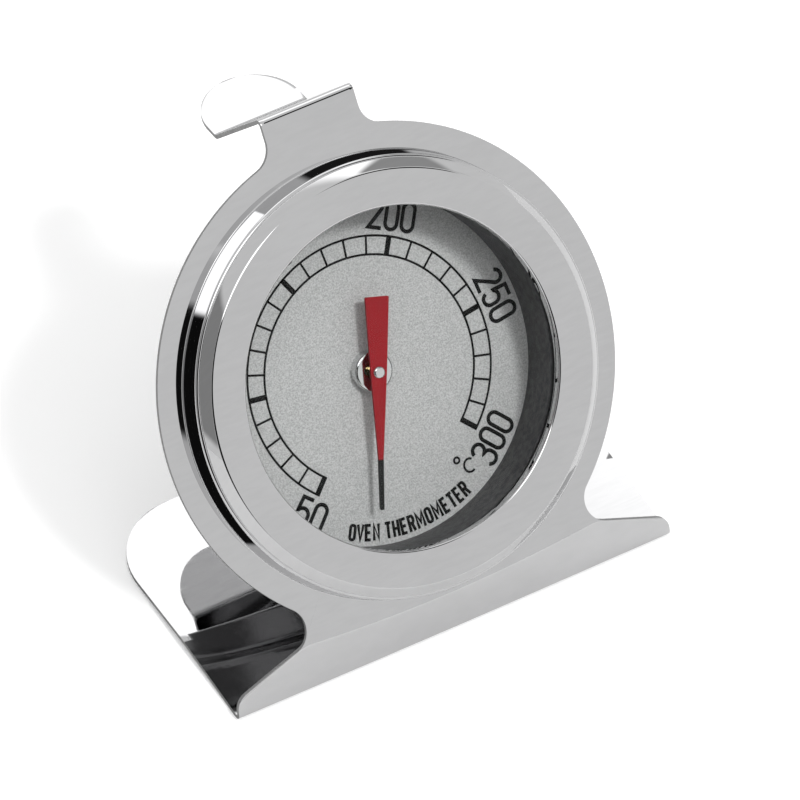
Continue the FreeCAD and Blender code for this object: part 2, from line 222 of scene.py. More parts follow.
def ring_piece(name, corners, body, material, segments, steps):
    """Turned piece from the (radius, height, rounding) corners of its section."""
    outline = rounded(corners, steps)
    vertices = []
    for step in range(segments):
        angle = TURN * step / segments
        for point in outline:
            vertices.append(place(point.x * math.sin(angle), -point.y,
                                  point.x * math.cos(angle)))
    count = len(outline)
    faces = []
    for step in range(segments):
        here = step * count
        there = (step + 1) % segments * count
        for index in range(count):
            following = (index + 1) % count
            faces.append((here + index, here + following, there + following,
                          there + index))
    return mesh_piece(name, vertices, faces, body, material)


def add_modifier(piece, name, kind, **settings):
    modifier = piece.modifiers.new(name, kind)
    for key, value in settings.items():
        setattr(modifier, key, value)


# Stand. A row is a function from x to the (y, z) of the sheet's outer surface, in the
# model's frame, in millimetres.

def world_yz(depth, z):
    point = place(0, depth, z) / MM
    return Vector((point.y, point.z))


def crease_height(x):
    return -CREASE_DROP + CREASE_BOW * (x / CREASE_HALF) ** 2


def bend_line(x):
    """Corners of the bent sheet's outer surface at x, as (y, z)."""
    crease_back = BASE_CREASE + BASE_CREASE_BOW * (x / BASE_HALF) ** 2
    hook = world_yz(HOOK_BACK, TAB_TOP - HOOK_DROP)
    flap = hook + Vector((math.cos(FLAP_DIP), -math.sin(FLAP_DIP))) * FLAP_LENGTH
    return [
        Vector((BASE_REAR, 0)), Vector((BASE_FRONT + crease_back, BASE_RISE)),
        Vector((BASE_FRONT, 0)), world_yz(0, crease_height(x)), world_yz(0, TAB_TOP),
        hook, flap,
    ]


def bend_arc(x, corner, share):
    """Point on the rounded bend at a corner, at a share of its arc."""
    line = bend_line(x)
    points = corner_arc(line[corner - 1], line[corner], line[corner + 1],
                        BEND_RADII[corner], ARC_POINTS)
    return points[round(share * ARC_POINTS)]


def between(x, low, high, share):
    """Point on the straight stretch between two bends, or a bend and an end."""
    line = bend_line(x)
    start = bend_arc(x, low, 1) if low in BEND_RADII else line[low]
    end = bend_arc(x, high, 0) if high in BEND_RADII else line[high]
    return start.lerp(end, share)


def bend_rows(corner):
    """Rows over the rounded bend at a corner."""
    return [(lambda x, share=step / BEND_STEPS: bend_arc(x, corner, share))
            for step in range(BEND_STEPS + 1)]


def stretch_rows(low, high, shares):
    """Rows over the straight stretch between two corners, at shares of its length."""
    return [(lambda x, share=share: between(x, low, high, share)) for share in shares]


def arc_x(centre_x, centre_z, z):
    """Left side of a neck's circle at height z."""
    return centre_x - math.sqrt(max(NECK_R ** 2 - (z - centre_z) ** 2, 0))


# The foot's outline in the dial frame, as (x, z): neck, slope and rounded corner. The
# base's side below the corner runs straight down.
FOOT_NECK_X = math.sqrt((DISC_R + NECK_R) ** 2 - FOOT_NECK_DROP ** 2)
FOOT_START = Vector((FOOT_NECK_X - NECK_R * math.sin(FOOT_SLOPE),
                     -FOOT_NECK_DROP - NECK_R * math.cos(FOOT_SLOPE)))
FOOT_TIP = Vector((BASE_HALF, FOOT_START.y
                   - (BASE_HALF - FOOT_START.x) * math.tan(FOOT_SLOPE)))
FOOT_CORNER = corner_arc(FOOT_START, FOOT_TIP, FOOT_TIP - Vector((0, 1)),
                         FOOT_CORNER_R, 12)
TAB_NECK_X = TAB_HALF + NECK_R
TAB_NECK_Z = math.sqrt((DISC_R + NECK_R) ** 2 - TAB_NECK_X ** 2)


def foot_half_width(z):
    """Half the foot's width at height z below the neck, in the dial frame."""
    if z > FOOT_START.y:
        return arc_x(FOOT_NECK_X, -FOOT_NECK_DROP, z)
    if z > FOOT_CORNER[0].y:
        return FOOT_START.x + (FOOT_START.y - z) / math.tan(FOOT_SLOPE)
    for upper, lower in zip(FOOT_CORNER, FOOT_CORNER[1:]):
        if z > lower.y:
            share = (upper.y - z) / (upper.y - lower.y)
            return upper.x + (lower.x - upper.x) * share
    return BASE_HALF


def base_half_width(y):
    """Half the base's width at y, with its rounded rear corners."""
    inset = y - (BASE_REAR - BASE_CORNER_R)
    if inset <= 0:
        return BASE_HALF
    drop = BASE_CORNER_R - math.sqrt(max(BASE_CORNER_R ** 2 - inset ** 2, 0))
    return BASE_HALF - drop


def flap_half_width(distance):
    """Half the flap's width, at a distance from its round end."""
    inset = TAB_HALF - distance
    if inset <= 0:
        return TAB_HALF
    return max(math.sqrt(max(TAB_HALF ** 2 - inset ** 2, 0)), FLAP_TIP_HALF)


def row_half_width(row):
    """Half-width of the sheet where a row meets its outline."""
    half = BASE_HALF
    for _ in range(WIDTH_ROUNDS):
        point = row(half)
        local = in_dial(Vector((0, point.x, point.y)) * MM)
        on_base = point.y < BASE_TOP
        target = base_half_width(point.x) if on_base else foot_half_width(local.z)
        half = (half + target) / 2
    return half


def foot_rows():
    """Rows of the base and the foot, from the rear edge up to the face plate.

    Rows crowd next to each bend, so that the flat stretches stay flat.
    """
    straight = BASE_REAR - BASE_CORNER_R
    rear_shares = []
    for step in (0, *range(2, REAR_CORNER_STEPS + 1)):
        swing = math.pi / 2 * step / REAR_CORNER_STEPS
        y = straight + BASE_CORNER_R * math.cos(swing)
        rear_shares.append((BASE_REAR - y) / REAR_FLAT)
    rows = stretch_rows(REAR, CREASE, (*rear_shares, 0.7, 0.9, 0.97, 0.995))
    rows += bend_rows(CREASE)
    rows += stretch_rows(CREASE, FRONT_FOLD, (0.01, 0.05, 0.3, 0.7, 0.95, 0.99))
    rows += bend_rows(FRONT_FOLD)
    rows += stretch_rows(FRONT_FOLD, FOOT_BEND,
                         [step / FOOT_STEPS for step in range(1, FOOT_STEPS)])
    rows += bend_rows(FOOT_BEND)
    return rows


def hook_rows():
    """Rows of the hook, from the tab's fold to the flap's end, and their half-widths."""
    rows = bend_rows(TAB_FOLD)
    rows += stretch_rows(TAB_FOLD, FLAP_FOLD, (0.02, 0.3, 0.7, 0.98))
    rows += bend_rows(FLAP_FOLD)
    halves = [TAB_HALF] * len(rows)
    flat = bend_line(0)[FLAP_END] - bend_arc(0, FLAP_FOLD, 1)
    for step in (*range(1, FLAP_STEPS - 3), FLAP_STEPS):
        swing = math.pi / 2 * step / FLAP_STEPS
        distance = TAB_HALF * (1 - math.sin(swing))
        rows += stretch_rows(FLAP_FOLD, FLAP_END, [1 - distance / flat.length])
        halves.append(flap_half_width(distance))
    return rows, halves


def add_rows(vertices, faces, rows, half_widths, columns):
    """Adds a grid of rows, and returns the indexes of each row."""
    grid = []
    for row, half in zip(rows, half_widths):
        indexes = []
        for column in range(columns + 1):
            x = half * (2 * column / columns - 1)
            point = row(x)
            indexes.append(len(vertices))
            vertices.append(Vector((x, point.x, point.y)) * MM)
        grid.append(indexes)
    for near, far in zip(grid, grid[1:]):
        for column in range(columns):
            faces.append((near[column], near[column + 1], far[column + 1],
                          far[column]))
    return grid


def right_side(low):
    """Outline of the face plate's right side, from height low up to the tab's fold."""
    points = []
    join = Vector((FOOT_NECK_X, -FOOT_NECK_DROP)).normalized() * DISC_R
    for step in range(1, FOOT_SIDE_STEPS + 1):
        z = low + (join.y - low) * step / FOOT_SIDE_STEPS
        points.append((foot_half_width(z), z))
    tab_join = Vector((TAB_NECK_X, TAB_NECK_Z)).normalized() * DISC_R
    start = math.atan2(join.x, join.y)
    end = math.atan2(tab_join.x, tab_join.y)
    for step in range(1, DISC_STEPS + 1):
        angle = start + (end - start) * step / DISC_STEPS
        points.append((DISC_R * math.sin(angle), DISC_R * math.cos(angle)))
    for step in range(1, TAB_SIDE_STEPS + 1):
        z = tab_join.y + (TAB_NECK_Z - tab_join.y) * step / TAB_SIDE_STEPS
        points.append((arc_x(TAB_NECK_X, TAB_NECK_Z, z), z))
    return points


def add_side(vertices, points, sign):
    """Adds an outline on the right (1) or the left (-1), and returns its indexes."""
    start = len(vertices)
    vertices += [place(sign * x, 0, z) for x, z in points]
    return range(start, len(vertices))


def collar_profile():
    """(radius, height) points from the face plate over the collar to its hole."""
    outside = Vector((COLLAR_R + 2, 0))
    foot = Vector((COLLAR_R, 0))
    top = Vector((COLLAR_TOP_R, COLLAR_HEIGHT))
    hole = Vector((COLLAR_HOLE_R, COLLAR_HEIGHT))
    profile = [Vector((COLLAR_R + guard, 0)) for guard in COLLAR_GUARDS]
    profile += corner_arc(outside, foot, top, COLLAR_FOOT_BEND, 6)
    profile += corner_arc(foot, top, hole, COLLAR_TOP_BEND, 10)
    profile.append(hole)
    return profile


def collar_angles(outline, bottom):
    """Angles round the collar that meet the outline's points, always moving on.

    outline[bottom] is the bottom of the outline, and keeps its own angle.
    """
    angles = [math.atan2(point.x, point.z) for point in outline]
    steps = []
    for here, there in zip(angles, angles[1:] + angles[:1]):
        step = (here - there + math.pi) % TURN - math.pi
        steps.append(max(step, COLLAR_LEAST_STEP))
    scale = TURN / sum(steps)
    turned = [0.0]
    for step in steps[:-1]:
        turned.append(turned[-1] - step * scale)
    return [angle - turned[bottom] + math.pi for angle in turned]


def add_collar(vertices, faces, rim, bottom):
    """Adds rings from the face plate's rim over the collar to its hole."""
    angles = collar_angles([in_dial(vertices[index]) for index in rim], bottom)
    outer = rim
    for radius, height in collar_profile():
        ring = []
        for angle in angles:
            ring.append(len(vertices))
            vertices.append(place(radius * math.sin(angle), -height,
                                  radius * math.cos(angle)))
        for index in range(len(rim)):
            following = (index + 1) % len(rim)
            faces.append((outer[index], outer[following], ring[following],
                          ring[index]))
        outer = ring


def make_stand(material, edge_material):
    """One bent sheet: base, foot, face plate with its collar, tab and hook."""
    vertices, faces = [], []
    rows = foot_rows()
    halves = [row_half_width(row) for row in rows]
    foot = add_rows(vertices, faces, rows, halves, FOOT_COLUMNS)
    hook = add_rows(vertices, faces, *hook_rows(), HOOK_COLUMNS)
    side = right_side(in_dial(vertices[foot[-1][-1]]).z)
    right = add_side(vertices, side, 1)
    left = add_side(vertices, side[::-1], -1)
    rim = [*foot[-1], *right, *reversed(hook[0]), *left]
    add_collar(vertices, faces, rim, FOOT_COLUMNS // 2)
    piece = mesh_piece("stand_sheet", vertices, faces, CASE_BODY, material, 50)
    piece.data.materials.append(edge_material)
    add_modifier(piece, "thickness", "SOLIDIFY", thickness=SHEET * MM, offset=-1,
                 use_even_offset=False, use_quality_normals=False,
                 material_offset_rim=1)
    add_modifier(piece, "worn_edges", "BEVEL", width=STAND_WEAR * MM, segments=2,
                 limit_method="ANGLE", angle_limit=math.radians(50),
                 harden_normals=False)
    add_modifier(piece, "normals", "WEIGHTED_NORMAL", weight=50, keep_sharp=True)
    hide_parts("stand")


# Materials

NOISE_LOW = 0.3             # most of a noise's values lie between these
NOISE_HIGH = 0.7
POLISH_HIGH = 0.75
CLOUD_SCALE = 90.0
LEAST_ROUGHNESS = 0.005
RELIEF_DEPTH = 0.02 * MM
RED = (0.27, 0.008, 0.013)
BLACK = 0.012
PANE_TINT = (0.985, 0.99, 0.988, 1)
PANE_SHINE = 0.12           # share of a plain pane's reflection
BLACK_FROM = 10.4           # the pointer's tip is black from this radius
BLACK_BLUR = 0.1


def new_material(name):
    material = bpy.data.materials.new(name)
    material.use_nodes = True
    return material


class Graph:
    """Short forms for building a node tree."""

    def __init__(self, owner):
        self.nodes = owner.node_tree.nodes
        self.links = owner.node_tree.links

    def add(self, kind, settings=None, **inputs):
        node = self.nodes.new("ShaderNode" + kind)
        for key, value in (settings or {}).items():
            setattr(node, key, value)
        for key, value in inputs.items():
            self.feed(node.inputs[key.replace("_", " ")], value)
        return node

    def feed(self, socket, value):
        if isinstance(value, bpy.types.NodeSocket):
            self.links.new(value, socket)
        else:
            socket.default_value = value

    def math(self, operation, first, second=0.0, third=0.0):
        node = self.nodes.new("ShaderNodeMath")
        node.operation = operation
        for socket, value in zip(node.inputs, (first, second, third)):
            self.feed(socket, value)
        return node.outputs[0]

    def ramp(self, value, low, high, out_low=0.0, out_high=1.0):
        node = self.add("MapRange", {"interpolation_type": "SMOOTHSTEP"})
        numbers = (value, low, high, out_low, out_high)
        for socket, number in zip(node.inputs, numbers):
            self.feed(socket, number)
        return node.outputs[0]

    def mix(self, factor, first, second):
        node = self.nodes.new("ShaderNodeMix")
        node.data_type = "RGBA"
        for socket, value in ((node.inputs[0], factor), (node.inputs[6], first),
                              (node.inputs[7], second)):
            self.feed(socket, value)
        return node.outputs[2]

    def noise(self, vector, scale, detail=3.0, stretch=None):
        if stretch:
            vector = self.add("Mapping", Vector=vector, Scale=stretch).outputs[0]
        node = self.add("TexNoise", Vector=vector, Scale=scale, Detail=detail)
        return node.outputs["Fac"]

    def bump(self, height, strength, distance):
        node = self.add("Bump", Height=height, Strength=strength, Distance=distance)
        return node.outputs[0]

    def object_place(self):
        return self.add("TexCoord").outputs["Object"]

    def dial_place(self):
        """x and z of the shaded point in the dial frame, in millimetres."""
        shift = self.add("VectorMath", {"operation": "SUBTRACT"})
        self.feed(shift.inputs[0], self.object_place())
        self.feed(shift.inputs[1], CENTRE)
        parts = []
        for axis in (RIGHT, ALONG):
            dot = self.add("VectorMath", {"operation": "DOT_PRODUCT"})
            self.feed(dot.inputs[0], shift.outputs[0])
            self.feed(dot.inputs[1], axis / MM)
            parts.append(dot.outputs["Value"])
        return parts

    def principled(self):
        return self.nodes["Principled BSDF"]

    def surface(self, **inputs):
        for key, value in inputs.items():
            self.feed(self.principled().inputs[key.replace("_", " ")], value)


def gray(value):
    return (value, value, value, 1.0)


def metal(name, color, roughness, spread, grain, relief=0.0, stretch=(1, 1, 1),
          tone=0.06):
    """Bare metal: cloudy tone, uneven polish and fine lines along one direction."""
    material = new_material(name)
    graph = Graph(material)
    where = graph.object_place()
    clouds = graph.noise(where, CLOUD_SCALE, 4.0)
    lines = graph.noise(where, grain, 2.0, stretch)
    dark = tuple(channel * (1 - tone) for channel in color) + (1,)
    mottle = graph.math("MULTIPLY_ADD", lines, 0.5, graph.math("MULTIPLY", clouds, 0.5))
    shade = graph.mix(graph.ramp(mottle, NOISE_LOW, NOISE_HIGH), dark, (*color, 1))
    polish = graph.ramp(lines, NOISE_LOW, POLISH_HIGH,
                        max(roughness - spread, LEAST_ROUGHNESS), roughness + spread)
    graph.surface(Metallic=1.0, Base_Color=shade, Roughness=polish)
    if relief:
        graph.surface(Normal=graph.bump(lines, relief, RELIEF_DEPTH))
    return material


def painted(name, color, roughness, grain=2500.0, tone=0.12, relief=0.15):
    """Matt paint with a fine speckle."""
    material = new_material(name)
    graph = Graph(material)
    speckle = graph.noise(graph.object_place(), grain, 2.0)
    dark = tuple(channel * (1 - tone) for channel in color) + (1,)
    light = tuple(min(channel * (1 + tone), 1) for channel in color) + (1,)
    shade = graph.mix(graph.ramp(speckle, NOISE_LOW, NOISE_HIGH), dark, light)
    graph.surface(Base_Color=shade, Roughness=roughness, Specular_IOR_Level=0.2,
                  Normal=graph.bump(speckle, relief, RELIEF_DEPTH))
    return material


def pointer_tip():
    """Direction of the pointer's tip in the dial frame."""
    tip = max(node_points("pointer"), key=lambda point: math.hypot(point.x, point.z))
    return Vector((tip.x, 0, tip.z)).normalized()


def pointer_paint():
    """Red blade with a black tip."""
    material = painted("pointer_red", RED, 0.4, tone=0.08)
    graph = Graph(material)
    x, z = graph.dial_place()
    tip = pointer_tip()
    along = graph.math("ADD", graph.math("MULTIPLY", x, tip.x),
                       graph.math("MULTIPLY", z, tip.z))
    red = graph.principled().inputs["Base Color"].links[0].from_socket
    is_tip = graph.ramp(along, BLACK_FROM - BLACK_BLUR, BLACK_FROM + BLACK_BLUR)
    graph.surface(Base_Color=graph.mix(is_tip, red, gray(BLACK)))
    return material


def clear_glass():
    """Clear pane with a faint, smudged shine."""
    material = new_material("glass")
    graph = Graph(material)
    smudge = graph.noise(graph.object_place(), 60.0, 3.0)
    through = graph.add("BsdfTransparent", Color=PANE_TINT)
    shine = graph.add("BsdfGlossy", Color=gray(1.0),
                      Roughness=graph.ramp(smudge, 0.4, 0.8, 0.0, 0.05))
    edge = graph.math("MULTIPLY", graph.add("Fresnel", IOR=1.45).outputs[0], PANE_SHINE)
    both = graph.add("MixShader", Fac=edge)
    graph.feed(both.inputs[1], through.outputs[0])
    graph.feed(both.inputs[2], shine.outputs[0])
    output = graph.nodes["Material Output"]
    graph.links.new(both.outputs[0], output.inputs["Surface"])
    return material


# Bezel, in millimetres

BEAD_R = 26.15              # foot of the bezel's sloping side, on the collar
SHOULDER_R = 24.9           # top of that slope
SHOULDER_HEIGHT = 4.25
LIP_HEIGHT = 4.1
BEZEL_WALL = 0.4
BEZEL_GAP = 0.02            # between the bezel and the collar's top and underside
SKIRT_PLAY = 0.05           # between the bezel's skirt and the collar's hole
SKIRT_ROLL = 0.18           # how far the skirt's end is rolled out
SHOULDER_INSET = 0.25       # the slope's inner surface, inside its outer one
SLOPE_WALL = 0.45
LIP_WALL = 0.35


def make_bezel(material):
    """Ring with a sloping side, a nearly flat face and a turned-in lip."""
    skirt = COLLAR_HOLE_R - SKIRT_PLAY
    inside = skirt - BEZEL_WALL
    top = COLLAR_HEIGHT + BEZEL_GAP
    roll_top = COLLAR_HEIGHT - SHEET - BEZEL_GAP
    roll_bottom = roll_top - BEZEL_WALL
    corners = [
        (skirt, roll_top, 0), (skirt, top, 0),
        (BEAD_R, top, 0.08), (SHOULDER_R, SHOULDER_HEIGHT, 0.45),
        (LIP_R, LIP_HEIGHT, 0.35), (LIP_R, GLASS_HEIGHT, 0),
        (LIP_R + BEZEL_WALL, GLASS_HEIGHT, 0),
        (LIP_R + BEZEL_WALL, LIP_HEIGHT - LIP_WALL, 0.15),
        (SHOULDER_R - SHOULDER_INSET, SHOULDER_HEIGHT - SLOPE_WALL, 0.4),
        (inside, COLLAR_HEIGHT + SLOPE_WALL, 0.2),
        (inside, roll_bottom, 0.2), (skirt + SKIRT_ROLL, roll_bottom, 0.08),
        (skirt + SKIRT_ROLL, roll_top, 0.08),
    ]
    piece = ring_piece("bezel", corners, CASE_BODY, material, segments=320, steps=10)
    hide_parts("bezel_ring")


# Dial print, in millimetres and degrees

PRINT_RISE = 0.015
SCALE_INNER = 13.77
SCALE_OUTER = 16.0
SCALE_SPAN = 274.2
SCALE_STEPS = 220
LINE = 0.27
MAJOR_LINE = 0.66
COLD, HOT, STEP, MAJOR_STEP = 50, 300, 10, 50
DIGIT_WIDTH = 2.0
DIGIT_HEIGHT = 3.85
DIGIT_STROKE = 0.47
DIGIT_PITCH = 2.15
DIGIT_MIDDLE_R = 18.5
FLIP_PAST = 100             # numbers further round than this are turned over
UNIT_STROKE = 0.27
UNIT = [                    # mark, width, height, middle of its foot
    ("degree", 1.6, 2.1, (7.35, -16.1)),
    ("C", 1.75, 1.9, (8.8, -16.5)),
]
WORDING = "OVEN THERMOMETER"
WORD_HEIGHT = 2.1
WORD_WIDTH = 0.98
WORD_STROKE = 0.37
WORD_BASE_R = 20.4
WORD_SPREAD = 50.0
WORD_TURN = -1.5
LETTER_STEPS = {"M": 1.3, " ": 0.5}     # room for a letter, against the usual one
LEAST_MITRE = 0.45          # limits how far a line's corner sticks out


def scale_angle(reading):
    """Clockwise from straight up, in radians."""
    share = (reading - COLD) / (HOT - COLD)
    return math.radians(SCALE_SPAN * (share - 0.5))


def arc(centre_x, centre_y, radius_x, radius_y, start, end, steps=14):
    """Points on an ellipse, from start to end degrees."""
    points = []
    for step in range(steps + 1):
        angle = math.radians(start + (end - start) * step / steps)
        points.append((centre_x + radius_x * math.cos(angle),
                       centre_y + radius_y * math.sin(angle)))
    return points


def glyph_strokes(letter, half, low, high):
    """Centre lines of a narrow letter, where 1 is the letter's height.

    half is its half-width, and low and high are the heights of its ends.
    """
    middle = (low + high) / 2
    top = high - half
    bottom = low + half
    waist = low + (high - low) * 0.53
    foot = low - 0.06           # square ends run on a little, to look level
    head = high + 0.06
    loop = arc(0, top, half, half, 180, 0) + arc(0, bottom, half, half, 0, -180)
    shapes = {
        "0": [loop + loop[:2]],
        "O": [loop + loop[:2]],
        "1": [[(-half, high - 0.18), (0.04, high), (0.04, foot)]],
        "2": [arc(0, top, half, half, 168, -28) + [(-half, low), (half + 0.04, low)]],
        "3": [arc(0, top, half, half, 165, 0)
              + arc(0, top, half, top - waist, 0, -90)
              + arc(0, waist - 0.19, half, 0.19, 90, 0)
              + arc(0, bottom, half, half, 0, -165)],
        "5": [[(half, high), (-half * 0.85, high), (-half, middle)]
              + arc(0, waist + 0.08 - half, half, half, 150, 0)
              + arc(0, bottom, half, half, 0, -165)],
        "V": [[(-half * 1.15, head), (0, low), (half * 1.15, head)]],
        "E": [[(half, high), (-half, high), (-half, low), (half, low)],
              [(-half, middle), (half * 0.8, middle)]],
        "N": [[(-half, foot), (-half, high), (half, low), (half, head)]],
        "T": [[(-half * 1.2, high), (half * 1.2, high)], [(0, high), (0, foot)]],
        "H": [[(-half, foot), (-half, head)], [(half, foot), (half, head)],
              [(-half, middle), (half, middle)]],
        "R": [[(-half, foot), (-half, high), (0, high)]
              + arc(half * 0.3, (high + middle) / 2, half * 0.7,
                    (high - middle) / 2, 90, -90)
              + [(-half, middle)], [(half * 0.2, middle), (half, foot)]],
        "M": [[(-half * 1.4, foot), (-half * 1.4, high), (0, low + 0.25),
               (half * 1.4, high), (half * 1.4, foot)]],
        "C": [arc(0, middle, half, (high - low) / 2, 52, 308, 28)],
        "degree": [arc(0, high - 0.12, 0.17, 0.17, 0, 375, 24)],
        " ": [],
    }
    return shapes[letter]


def ribbon(points, width):
    """Left and right edges of a line of that width, with mitred corners."""
    points = [Vector(point) for point in points]
    clean = [points[0]]
    for point in points[1:]:
        if (point - clean[-1]).length > 1e-5:
            clean.append(point)
    edges = []
    for index, point in enumerate(clean):
        ways = []
        if index > 0:
            ways.append((point - clean[index - 1]).normalized())
        if index < len(clean) - 1:
            ways.append((clean[index + 1] - point).normalized())
        total = sum(ways[1:], ways[0]).normalized()
        normal = Vector((-total.y, total.x))
        reach = width / 2 / max(total.dot(ways[0]), LEAST_MITRE)
        edges.append((point + normal * reach, point - normal * reach))
    return edges


class Print:
    """Flat ink shapes on the dial, gathered into one thin closed piece."""

    def __init__(self):
        self.vertices = []
        self.faces = []

    def add_ribbon(self, points, width, transform):
        """Adds a line. transform turns its points into the dial's x and z."""
        start = len(self.vertices)
        edges = ribbon(points, width)
        for left, right in edges:
            for point in (left, right):
                x, z = transform(point)
                self.vertices.append(place(x, DIAL_DEPTH - PRINT_RISE, z))
        for index in range(len(edges) - 1):
            corner = start + 2 * index
            self.faces.append((corner, corner + 1, corner + 3, corner + 2))

    def add_glyph(self, letter, width, height, stroke, origin, angle):
        """Letter with the middle of its foot at origin, turned clockwise by angle."""
        unit = stroke / height
        half = (width - stroke) / 2 / height
        cos, sin = math.cos(angle), math.sin(angle)

        def transform(point):
            x, y = point.x * height, point.y * height
            return (origin[0] + x * cos + y * sin, origin[1] - x * sin + y * cos)

        for points in glyph_strokes(letter, half, unit / 2, 1 - unit / 2):
            self.add_ribbon(points, unit, transform)

    def build(self, name, material):
        mesh = bpy.data.meshes.new(name)
        mesh.from_pydata([tuple(v) for v in self.vertices], [], self.faces)
        piece = finish_mesh(name, mesh, CASE_BODY, material)
        add_modifier(piece, "ink", "SOLIDIFY", thickness=PRINT_RISE * MM, offset=0)


def as_drawn(point):
    return point.x, point.y


def line_angle(reading):
    """Angle of a scale line. The wide end lines stay within the scale's arcs."""
    inwards = (MAJOR_LINE - LINE) / 2 / SCALE_OUTER
    if reading == COLD:
        return scale_angle(reading) + inwards
    if reading == HOT:
        return scale_angle(reading) - inwards
    return scale_angle(reading)


def make_scale(material):
    """Two arcs joined by a line at each step."""
    ink = Print()
    start, end = scale_angle(COLD), scale_angle(HOT)
    angles = [start + (end - start) * step / SCALE_STEPS
              for step in range(SCALE_STEPS + 1)]
    for radius in (SCALE_INNER, SCALE_OUTER):
        points = [(radius * math.sin(a), radius * math.cos(a)) for a in angles]
        ink.add_ribbon(points, LINE, as_drawn)
    for reading in range(COLD, HOT + 1, STEP):
        angle = line_angle(reading)
        ends = [(radius * math.sin(angle), radius * math.cos(angle))
                for radius in (SCALE_INNER - LINE / 2, SCALE_OUTER + LINE / 2)]
        width = LINE if reading % MAJOR_STEP else MAJOR_LINE
        ink.add_ribbon(ends, width, as_drawn)
    ink.build("scale_print", material)


def make_numbers(material):
    """Numbers outside the scale, with their tops outwards, and the unit.

    The two at the bottom have their tops inwards, so that none is upside down.
    """
    ink = Print()
    for reading in range(COLD, HOT + 1, MAJOR_STEP):
        angle = scale_angle(reading)
        outward = Vector((math.sin(angle), math.cos(angle)))
        tilt = angle + math.pi if abs(angle) > math.radians(FLIP_PAST) else angle
        up = Vector((math.sin(tilt), math.cos(tilt)))
        across = Vector((up.y, -up.x))
        text = str(reading)
        for index, digit in enumerate(text):
            shift = (index - (len(text) - 1) / 2) * DIGIT_PITCH
            spot = outward * DIGIT_MIDDLE_R + across * shift - up * DIGIT_HEIGHT / 2
            ink.add_glyph(digit, DIGIT_WIDTH, DIGIT_HEIGHT, DIGIT_STROKE, spot, tilt)
    for mark, width, height, spot in UNIT:
        ink.add_glyph(mark, width, height, UNIT_STROKE, spot, 0.0)
    ink.build("number_print", material)


def make_wording(material):
    """Plain words round the bottom of the dial, their tops towards its middle."""
    ink = Print()
    steps = [LETTER_STEPS.get(letter, 1.0) for letter in WORDING]
    done = 0
    for letter, step in zip(WORDING, steps):
        share = (done + step / 2) / sum(steps)
        done += step
        swing = math.radians(WORD_TURN + WORD_SPREAD * (share - 0.5))
        spot = (WORD_BASE_R * math.sin(swing), -WORD_BASE_R * math.cos(swing))
        ink.add_glyph(letter, WORD_WIDTH, WORD_HEIGHT, WORD_STROKE, spot, -swing)
    ink.build("word_print", material)


# Pieces

steel = metal("polished_steel", (0.60, 0.60, 0.605), roughness=0.022, spread=0.015,
              grain=350.0, stretch=(1, 6, 1), tone=0.05)
# The steel of the case and the movement frame is far darker than bare steel: painted
# shade, so that the polished stand reflects the case as dark.
shade_dark_steel = metal("case_steel", (0.12, 0.12, 0.123), roughness=0.2, spread=0.06,
                    grain=1200.0, relief=0.2)
cut_steel = metal("cut_edge", (0.22, 0.22, 0.22), roughness=0.35, spread=0.1,
                  grain=2000.0, relief=0.3)
brass = metal("movement_brass", (0.62, 0.46, 0.2), roughness=0.16, spread=0.05,
              grain=1500.0, relief=0.1)
bright = metal("bush_steel", (0.72, 0.72, 0.72), roughness=0.12, spread=0.04,
               grain=1500.0, relief=0.1)
strip = metal("bimetal", (0.48, 0.45, 0.4), roughness=0.3, spread=0.08, grain=800.0,
              relief=0.15)
ink_black = painted("ink", (0.006, 0.006, 0.006), roughness=0.55, tone=0.3)
dial_paint = painted("dial_paint", (0.46, 0.46, 0.46), roughness=0.5, grain=5500.0,
                     tone=0.22, relief=0.4)
spacer_paint = painted("spacer_paint", (0.07, 0.07, 0.072), roughness=0.4,
                       grain=1400.0, tone=0.3, relief=0.3)
rubber = painted("seal_rubber", (0.02, 0.02, 0.02), roughness=0.7)

make_stand(steel, cut_steel)
make_bezel(steel)
make_scale(ink_black)
make_numbers(ink_black)
make_wording(ink_black)

NODE_MATERIALS = {
    "stand": steel, "bezel_ring": steel, "case_cup": shade_dark_steel,
    "lens_glass": clear_glass(), "lens_seal": rubber, "rear_seal": rubber,
    "spacer_ring": spacer_paint, "dial_plate": dial_paint, "front_bush": bright,
    "bush_washer": bright, "movement_frame": shade_dark_steel, "rear_bush": brass,
    "pointer_staff": bright, "staff_clip": bright, "coil_hub": brass,
    "bimetal_coil": strip, "anchor_post": brass, "anchor_rivet": brass,
    "pointer_boss": brass, "pointer": pointer_paint(),
}
for node, material in NODE_MATERIALS.items():
    materials = frame["nodes"][node].data.materials
    materials.clear()
    materials.append(material)


# Stage, in metres and degrees

FLOOR_HALF = 3.0
PAPER = (0.78, 0.78, 0.78)
FLOOR_LIFT = 0.28           # glow that only the camera sees, to keep the paper white
SENSOR_WIDTH = 36           # in millimetres, as is the lens's focal length
LENS_LENGTH = 540
CAMERA_RIGHT = Vector((0.853, -0.4395, -0.2814))    # the picture's right, dial frame
CAMERA_WAY = Vector((0.3781, 0.8921, -0.2471))      # the way it looks, dial frame
CAMERA_DISTANCE = 1.4136
AIM_RIGHT = 1.355 * MM      # how far right of the dial's centre it looks
AIM_BELOW = 2.992 * MM      # and how far below


